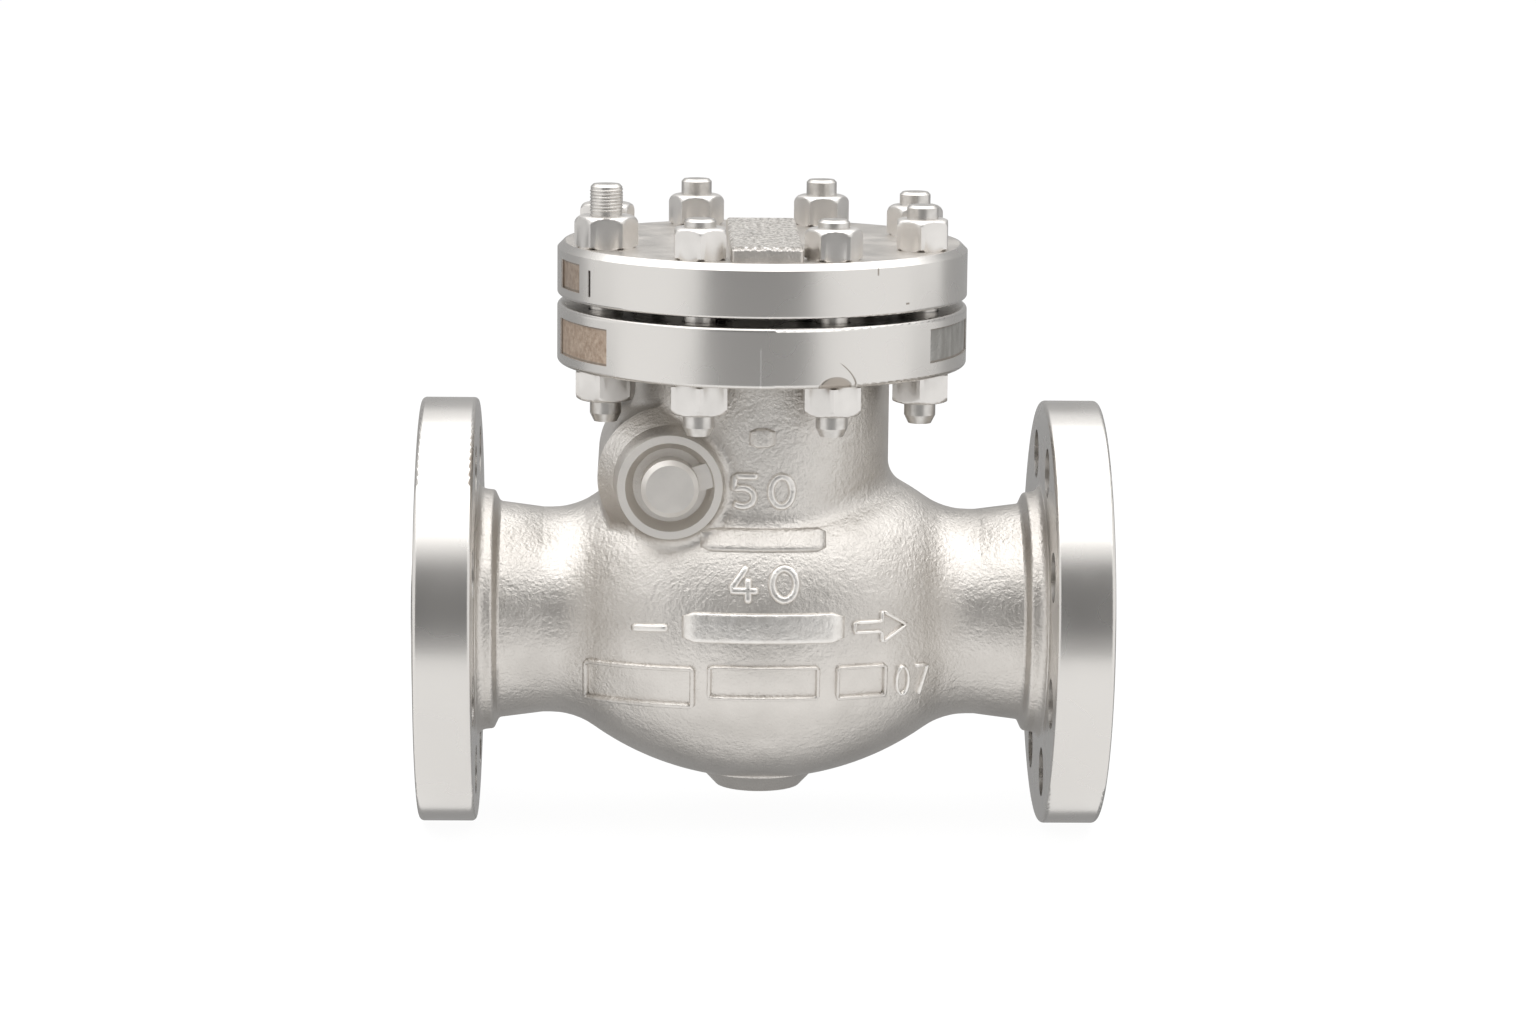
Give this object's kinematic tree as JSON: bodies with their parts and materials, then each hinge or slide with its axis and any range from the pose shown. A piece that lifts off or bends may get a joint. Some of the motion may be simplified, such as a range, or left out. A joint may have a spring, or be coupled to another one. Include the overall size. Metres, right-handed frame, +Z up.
{
  "type": "non-return valve",
  "caption": "Swing check valve: a cast body with flanged ends and a bolted cover; a hinged disc inside lets flow pass one way and swings shut against its return.",
  "frame": {"origin": "middle of the inlet flange's raised face, on the flow axis", "axes": "+X along the flow to the outlet flange, +Z up the cover's axis, +Y away from the side that shows the flow arrow"},
  "size_m": [0.267, 0.165, 0.2515],
  "materials": {
    "cast_steel": "blasted casting with turned flange rims",
    "fastener_steel": "bright, lightly brushed",
    "plug_steel": "turned",
    "trim_steel": "turned and lapped",
    "arm_steel": "cast",
    "gasket": "graphite-filled sheet"
  },
  "bodies": {
    "casing": {"body_inlet_end": "cast_steel", "body_outlet_end": "cast_steel", "body_belly": "cast_steel", "body_upright_neck": "cast_steel", "body_cover_flange": "cast_steel", "seat_ring": "trim_steel", "hinge_pin": "trim_steel", "hinge_plug_front": "plug_steel", "hinge_plug_rear": "plug_steel", "plug_washer_front": "gasket", "plug_washer_rear": "gasket", "plug_lock_front": "plug_steel", "plug_lock_rear": "plug_steel", "cover_gasket": "gasket", "cover": "cast_steel", "cover_stud_1": "fastener_steel", "cover_stud_2": "fastener_steel", "cover_stud_3": "fastener_steel", "cover_stud_4": "fastener_steel", "cover_stud_5": "fastener_steel", "cover_stud_6": "fastener_steel", "cover_stud_7": "fastener_steel", "cover_stud_8": "fastener_steel", "upper_nut_1": "fastener_steel", "upper_nut_2": "fastener_steel", "upper_nut_3": "fastener_steel", "upper_nut_4": "fastener_steel", "upper_nut_5": "fastener_steel", "upper_nut_6": "fastener_steel", "upper_nut_7": "fastener_steel", "upper_nut_8": "fastener_steel", "lower_nut_1": "fastener_steel", "lower_nut_2": "fastener_steel", "lower_nut_3": "fastener_steel", "lower_nut_4": "fastener_steel", "lower_nut_5": "fastener_steel", "lower_nut_6": "fastener_steel", "lower_nut_7": "fastener_steel", "lower_nut_8": "fastener_steel"},
    "arm": {"hinge_arm": "arm_steel"},
    "clapper": {"disc": "trim_steel", "disc_washer": "trim_steel", "disc_nut": "trim_steel", "disc_split_pin": "trim_steel"}
  },
  "joints": [
    {"name": "clapper_swing", "type": "hinge", "parent": "casing", "child": "arm", "pos_m": [0.098, 0, 0.0576], "axis": [0, -1, 0], "range_deg": [0, 65]},
    {"name": "disc_spin", "type": "hinge", "parent": "arm", "child": "clapper", "pos_m": [0.0995, 0, 0], "axis": [1, 0, 0], "continuous": true}
  ]
}
